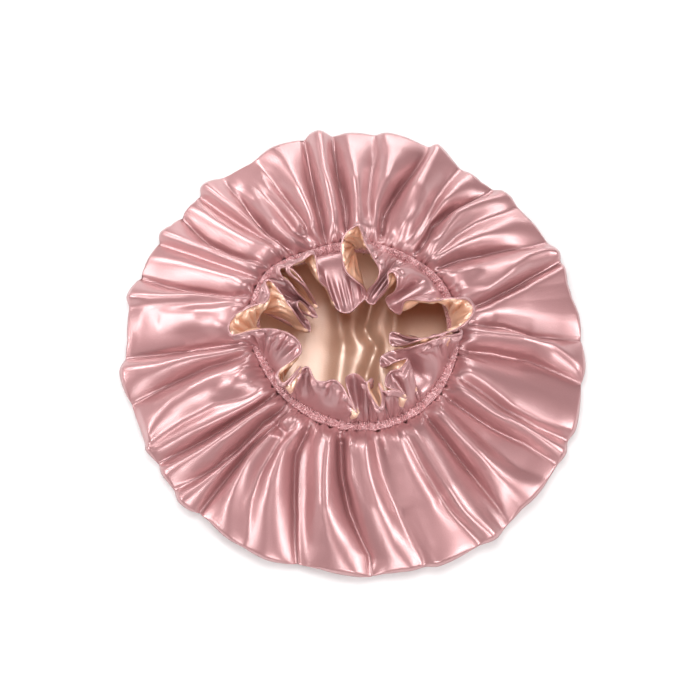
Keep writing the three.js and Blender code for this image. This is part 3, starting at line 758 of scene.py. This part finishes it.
def crown_points(distance, radii, heights):
    """The crown with its folds and puffs."""
    angle = round_angles(CROWN_COLUMNS)
    on_top = np.arange(len(radii)) < CROWN_TOP_ROWS
    share = np.clip((RIM_RADIUS - radii) / (RIM_RADIUS - CROWN_START), 0, 1)
    inward = np.where(on_top, share, 0)
    plain = crown_plain(radii, heights, inward, angle)
    normals = -grid_normals(plain)
    # At the casing the cloth rises straight up
    normals[0] = (0, 0, 1)
    curve = (inward[:CROWN_TOP_ROWS][::-1], heights[:CROWN_TOP_ROWS][::-1])
    rim = distance[CROWN_TOP_ROWS - 1]
    starting = eased(distance / FOLD_START)
    ending = (1 - np.clip((distance - rim) / FOLD_END, 0, 1)) ** 2
    folds = crown_folds(inward, radii, angle, curve)
    height = FOLD_SCALE * (starting * ending)[:, None] * folds
    height += (on_top * starting)[:, None] * crown_puffs(inward, radii, angle, curve)
    outward = np.clip(distance / rim, 0, 1)[:, None, None] ** RIM_LIFT_POWER
    lift = normals * (1 - RIM_LIFT * outward) + np.array([0, 0, RIM_LIFT]) * outward
    return plain + height[..., None] * lift


def make_crown(material):
    """The satin outside, from the casing over the rim to the middle of its underside."""
    distance = crown_distances()
    radii, heights = plain_rows(CROWN_TOP, CROWN_UNDER, distance)
    points = crown_points(distance, radii, heights)
    points = points + gathers(points, distance, np.random.default_rng(SEED))
    obj = bag_mesh("crown_satin", points, distance, radii, material)
    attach(obj, BODY)
    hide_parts("outer_crown")


# The lining

def floor_height(x, y):
    """The lining's wrinkles inside the opening, over its flat floor."""
    total = np.zeros_like(x)
    for (x0, y0), (x1, y1), high, wide in FLOOR_WRINKLES:
        length = math.hypot(x1 - x0, y1 - y0)
        ux, uy = (x1 - x0) / length, (y1 - y0) / length
        along = (x - x0) * ux + (y - y0) * uy
        across = ((x - x0) * uy - (y - y0) * ux) / wide
        past = np.maximum(np.maximum(-along, along - length), 0) / WRINKLE_END
        total += (high * np.exp(-past * past) / (1 + across * across) ** WRINKLE_POWER) ** 2
    return np.sqrt(total)


def make_lining(material):
    """The bag inside the crown, with the floor that shows in the opening."""
    lengths = lengths_along(np.array(LINING_TOP + LINING_UNDER, float))
    distance = np.linspace(0, lengths[-1], LINING_ROWS)
    radii, heights = plain_rows(LINING_TOP, LINING_UNDER, distance)
    angle = round_angles(LINING_COLUMNS)
    top = distance < lengths[len(LINING_TOP) - 1]
    inward = np.clip((LINING_RIM - radii) / (LINING_RIM - LINING_START), 0, 1) * top
    start = casing_radius(angle) + LINING_START - CASING_RADIUS
    reach = LINING_RIM + (start - LINING_RIM) * inward[:, None]
    reach = np.where(top[:, None], reach, radii[:, None])
    points = ring_points(reach, angle, CASING_CENTRE_Y * inward[:, None], heights[:, None])
    sway = LINING_FOLD_SWAY * np.sin(LINING_FOLD_SWAYS * angle)
    wave = LINING_FOLD_HEIGHT * np.sin(LINING_FOLDS * angle + sway)
    wrinkles = np.where(top[:, None], 0, floor_height(points[..., 0], points[..., 1]))
    points[..., 2] += wave * np.sin(math.pi * inward)[:, None] + wrinkles
    points = points + gathers(points, distance, np.random.default_rng(SEED + 3))
    obj = bag_mesh("lining_satin_bag", points, distance, radii, material)
    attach(obj, BODY)
    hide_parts("lining_crown")


# The frill

def smoothed_round(values, reach):
    """A closed row of values averaged over "reach" places each way."""
    kernel = np.hanning(2 * reach + 3)[1:-1]
    kernel /= kernel.sum()
    wide = np.concatenate([values[-reach:], values, values[:reach]])
    return np.convolve(wide, kernel, mode="valid")


def foot_angles(x, y):
    """Where each column of the frill starts on the casing: always further round."""
    columns = len(x)
    raw = np.unwrap(np.arctan2(y - CASING_CENTRE_Y, x))
    even = np.arange(columns) * TURN / columns
    angle = even + smoothed_round(raw - even, FOOT_REACH)
    step = np.diff(np.append(angle, angle[0] + TURN))
    step = np.maximum(step, FOOT_LEAST_STEP * TURN / columns)
    step *= TURN / step.sum()
    rising = angle[0] + np.concatenate([[0], np.cumsum(step)[:-1]])
    return rising - (rising - angle).mean()


def frill_ends():
    """The frill's free edge and foot, evenly along the edge."""
    pixels = np.array(FRILL_EDGE, float)
    closed = np.vstack([pixels, pixels[:1]])
    lengths = lengths_along(closed)
    laps = np.concatenate([lengths[:-1] - lengths[-1], lengths[:-1], lengths + lengths[-1]])
    triple = np.vstack([pixels, pixels, closed])
    even = np.linspace(0, lengths[-1], FRILL_COLUMNS, endpoint=False)
    path = smooth_curve(laps, triple, even)
    z = np.full(len(path), CASING_TOP + FRILL_FIRST_RISE)
    for _ in range(PLACING_ROUNDS):
        x, y, _ = seen_at(path, z).T
        angle = foot_angles(x, y)
        radius = casing_radius(angle) + FRILL_FOOT_RADIUS - CASING_RADIUS
        foot = ring_points(radius, angle, CASING_CENTRE_Y, CASING_TOP - FRILL_SUNK)
        away = np.hypot(x - foot[:, 0], y - foot[:, 1])
        rise = (FRILL_TAUTNESS * FRILL_WIDTH) ** 2 - away ** 2
        rise = np.sqrt(np.maximum(rise, FRILL_LEAST_RISE ** 2))
        z = 0.5 * z + 0.5 * (CASING_TOP + rise)
    edge = np.stack([x, y, z], -1)
    for _ in range(EDGE_ROUNDS):
        edge = (np.roll(edge, 1, axis=0) + 2 * edge + np.roll(edge, -1, axis=0)) / 4
    return edge, foot


def charted_frill():
    """The frill's charted rows: a curve in each column, from the foot up and out to the edge."""
    edge, foot = frill_ends()
    share = np.linspace(0, 1, FRILL_ROWS)[:, None, None]
    leaning = edge - foot
    upwards = np.array([0, 0, 1.0]) * np.linalg.norm(leaning, axis=-1, keepdims=True)
    outwards = leaning * np.array([1, 1, 0])
    first = foot + FOOT_UPWARDS * upwards
    second = edge - EDGE_OUTWARDS * outwards - EDGE_UPWARDS * upwards
    return (
        (1 - share) ** 3 * foot
        + 3 * (1 - share) ** 2 * share * first
        + 3 * (1 - share) * share ** 2 * second
        + share ** 3 * edge
    )


def pair_up(rows, columns, down, across):
    """Two lists of pairs of points, "down" rows and "across" columns apart, that share no point."""
    i, j = np.meshgrid(np.arange(rows - down), np.arange(columns), indexing="ij")
    first = i * columns + j
    second = (i + down) * columns + (j + across) % columns
    turn = (i // down) % 2 if down else (j // across) % 2
    return [(first[turn == k], second[turn == k], i[turn == k]) for k in (0, 1)]


def settle(points, around, along):
    """Lets a closed band of cloth take up its cut lengths between its first and last rows.

    "around" and "along" are the cut distances between columns and rows, one for each row.
    """
    rows, columns, _ = points.shape
    goal = points.reshape(-1, 3).copy()
    moved = goal.copy()
    free = np.ones(rows)
    free[0] = 0
    free[-1] = 0
    free = np.repeat(free, columns)[:, None]
    aslant = np.sqrt(around ** 2 + along ** 2)
    # Each kind of link: rows down, columns across, cut lengths and stiffness
    kinds = [
        (0, 1, around, STIFF_AROUND),
        (1, 0, along, STIFF_ALONG),
        (1, 1, aslant, STIFF_ASLANT),
        (1, -1, aslant, STIFF_ASLANT),
        (0, 2, 2 * around, STIFF_BENDING),
        (2, 0, 2 * along, STIFF_BENDING),
        (0, 4, 4 * around, STIFF_BENDING / 4),
    ]
    turns = []
    for down, across, rest, stiffness in kinds:
        for first, second, row in pair_up(rows, columns, down, across):
            turns.append((first, second, rest[row][:, None], stiffness))
    pull = CHART_PULL * free
    for _ in range(SETTLE_ROUNDS):
        for first, second, rest, stiffness in turns:
            gap = moved[second] - moved[first]
            length = np.sqrt((gap * gap).sum(1, keepdims=True)) + TINY
            share = free[first] + free[second] + TINY
            gap *= stiffness * (length - rest) / (length * share)
            moved[first] += gap * free[first]
            moved[second] -= gap * free[second]
        moved += pull * (goal - moved)
    return moved.reshape(points.shape)


def settled_frill(rows):
    """The frill's middle surface, and the mean step between its columns along its edge."""
    charted = charted_frill()
    steps = np.linalg.norm(np.roll(charted, -1, axis=1) - charted, axis=-1).mean(1)
    fullness = np.interp(rows, *zip(*FRILL_FULLNESS))
    around = np.minimum(steps[-1] * fullness, FRILL_FULLEST * steps)
    along = np.full(FRILL_ROWS, FRILL_WIDTH / (FRILL_ROWS - 1))
    random = np.random.default_rng(SEED + 2)
    pucker = noise_round(random, FRILL_COLUMNS, *PUCKER_WAVES)
    strength = PUCKER_HEIGHT * np.sin(math.pi * np.clip(rows / PUCKER_REACH, 0, 1))
    puckers = strength[:, None] * pucker[None, :]
    points = charted + puckers[..., None] * grid_normals(charted)
    return settle(points, around, along), steps[-1]


def make_frill(pink, champagne):
    """The frill's two layers, pressed together by a seam, and the edge that joins them."""
    rows = np.linspace(0, 1, FRILL_ROWS)
    points, step = settled_frill(rows)
    normals = grid_normals(points)
    flat = np.stack(np.meshgrid(np.arange(FRILL_COLUMNS) * step, rows * FRILL_WIDTH), -1)
    from_seam = (1 - rows) * FRILL_WIDTH - FRILL_SEAM_IN
    seam = FRILL_SEAM_PRESS * np.exp(-(from_seam / FRILL_SEAM_WIDTH) ** 2)
    gap = FRILL_LAYER_GAP * (1 - seam)[:, None, None]
    layers = [
        ("frill_outer", pink, 0.5, "outer_frill", "outer_satin"),
        ("frill_lining", champagne, -0.5, "lining_frill", "lining_satin"),
    ]
    for name, material, side, node, slot in layers:
        obj = grid_mesh(name, points + side * gap * normals, flat, material, flip=side < 0)
        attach(obj, BODY)
        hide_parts(node)
    make_rolled_edge(points, pink)


def make_rolled_edge(points, material):
    """The turned edge that joins the frill's two layers: a thin tube along it."""
    edge = points[-1]
    along = np.roll(edge, -1, axis=0) - np.roll(edge, 1, axis=0)
    along /= np.linalg.norm(along, axis=-1, keepdims=True)
    out = edge - points[-3]
    out -= (out * along).sum(-1, keepdims=True) * along
    out /= np.linalg.norm(out, axis=-1, keepdims=True) + TINY
    side = np.cross(along, out)
    turns = round_angles(EDGE_SIDES)
    rings = [edge + EDGE_ROLL * (math.cos(turn) * out + math.sin(turn) * side) for turn in turns]
    rings.append(rings[0])
    flat = np.stack(np.meshgrid(np.arange(len(edge)), np.arange(len(rings)) * EDGE_CUT_STEP), -1)
    obj = grid_mesh("frill_rolled_edge", np.array(rings), flat, material)
    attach(obj, BODY)


# Materials

def satin(name, colour, deep_colour, roughness, metallic):
    """Satin: a metal-like sheen, with fine grain across its floats."""
    material = bpy.data.materials.new(name)
    material.use_nodes = True
    nodes = material.node_tree.nodes
    links = material.node_tree.links
    shader = nodes["Principled BSDF"]
    shader.inputs["Roughness"].default_value = roughness
    shader.inputs["Metallic"].default_value = metallic
    shader.inputs["Sheen Tint"].default_value = (*colour, 1)
    for socket, value in SATIN.items():
        shader.inputs[socket].default_value = value
    place = nodes.new("ShaderNodeUVMap")
    place.uv_map = "cut"
    stretch = nodes.new("ShaderNodeMapping")
    stretch.inputs["Scale"].default_value = GRAIN_SCALE
    links.new(place.outputs["UV"], stretch.inputs["Vector"])
    grain = nodes.new("ShaderNodeTexNoise")
    grain.inputs["Scale"].default_value = 1
    grain.inputs["Detail"].default_value = GRAIN_DETAIL
    links.new(stretch.outputs["Vector"], grain.inputs["Vector"])
    bump = nodes.new("ShaderNodeBump")
    bump.inputs["Strength"].default_value = GRAIN_STRENGTH
    bump.inputs["Distance"].default_value = GRAIN_DEPTH
    links.new(grain.outputs["Fac"], bump.inputs["Height"])
    links.new(bump.outputs["Normal"], shader.inputs["Normal"])
    tone = nodes.new("ShaderNodeMix")
    tone.data_type = "RGBA"
    tone.inputs["A"].default_value = (*deep_colour, 1)
    tone.inputs["B"].default_value = (*colour, 1)
    links.new(grain.outputs["Fac"], tone.inputs["Factor"])
    links.new(tone.outputs["Result"], shader.inputs["Base Color"])
    return material


# Floor, lights and camera

def make_floor():
    """A plain pale floor."""
    mesh = bpy.data.meshes.new("floor")
    half = FLOOR_HALF
    corners = [(-half, -half, 0), (half, -half, 0), (half, half, 0), (-half, half, 0)]
    mesh.from_pydata(corners, [], [(0, 1, 2, 3)])
    material = bpy.data.materials.new("floor_white")
    material.use_nodes = True
    shader = material.node_tree.nodes["Principled BSDF"]
    shader.inputs["Base Color"].default_value = (FLOOR_GREY, FLOOR_GREY, FLOOR_GREY, 1)
    shader.inputs["Roughness"].default_value = FLOOR_ROUGHNESS
    mesh.materials.append(material)
    floor = bpy.data.objects.new("floor", mesh)
    bpy.context.collection.objects.link(floor)


def make_lamp(name, place, size, power):
    """A soft rectangular lamp."""
    light = bpy.data.lights.new(name, "AREA")
    light.shape = "RECTANGLE"
    light.size, light.size_y = size
    light.energy = power
    obj = bpy.data.objects.new(name, light)
    obj.location = place
    facing = Vector(LAMPS_FACE) - Vector(place)
    obj.rotation_euler = facing.to_track_quat("-Z", "Y").to_euler()
    bpy.context.collection.objects.link(obj)


def make_sky():
    """The studio's own light: a grey that changes a little with height."""
    world = bpy.data.worlds.new("studio")
    bpy.context.scene.world = world
    world.use_nodes = True
    nodes = world.node_tree.nodes
    links = world.node_tree.links
    place = nodes.new("ShaderNodeTexCoord")
    split = nodes.new("ShaderNodeSeparateXYZ")
    links.new(place.outputs["Generated"], split.inputs["Vector"])
    ramp = nodes.new("ShaderNodeValToRGB")
    for element, (height, grey) in zip(ramp.color_ramp.elements, SKY_GREYS):
        element.position = height
        element.color = (grey, grey, grey, 1)
    links.new(split.outputs["Z"], ramp.inputs["Fac"])
    links.new(ramp.outputs["Color"], nodes["Background"].inputs["Color"])
    nodes["Background"].inputs["Strength"].default_value = SKY_STRENGTH


def make_camera():
    """The photograph's camera."""
    camera = bpy.data.cameras.new("camera")
    camera.lens = LENS
    camera.sensor_width = SENSOR
    obj = bpy.data.objects.new("camera", camera)
    obj.location = Vector(camera_axes()[0] * MM)
    obj.rotation_euler = (math.pi / 2 - VIEW_ELEVATION, 0, 0)
    bpy.context.collection.objects.link(obj)
    bpy.context.scene.camera = obj


pink = satin(
    "pink_satin", colour=(0.52, 0.25, 0.255), deep_colour=(0.44, 0.195, 0.2),
    roughness=0.38, metallic=0.5,
)
# The casing is the crown's own pink satin, painted lighter: a painted highlight on its shirring
# that also lifts the shade in the groove beside the crown
casing_pink_painted_light = satin(
    "casing_satin", colour=(0.72, 0.4, 0.41), deep_colour=(0.62, 0.31, 0.32),
    roughness=0.4, metallic=0.4,
)
champagne = satin(
    "champagne_satin", colour=(0.9, 0.57, 0.41), deep_colour=(0.82, 0.48, 0.33),
    roughness=0.38, metallic=0.3,
)

make_crown(pink)
make_lining(champagne)
make_casing(casing_pink_painted_light)
make_frill(pink, champagne)
make_floor()
for lamp, (place, size, power) in LAMPS.items():
    make_lamp(lamp, place, size, power)
make_sky()
make_camera()
bpy.context.scene.view_settings.view_transform = "Standard"
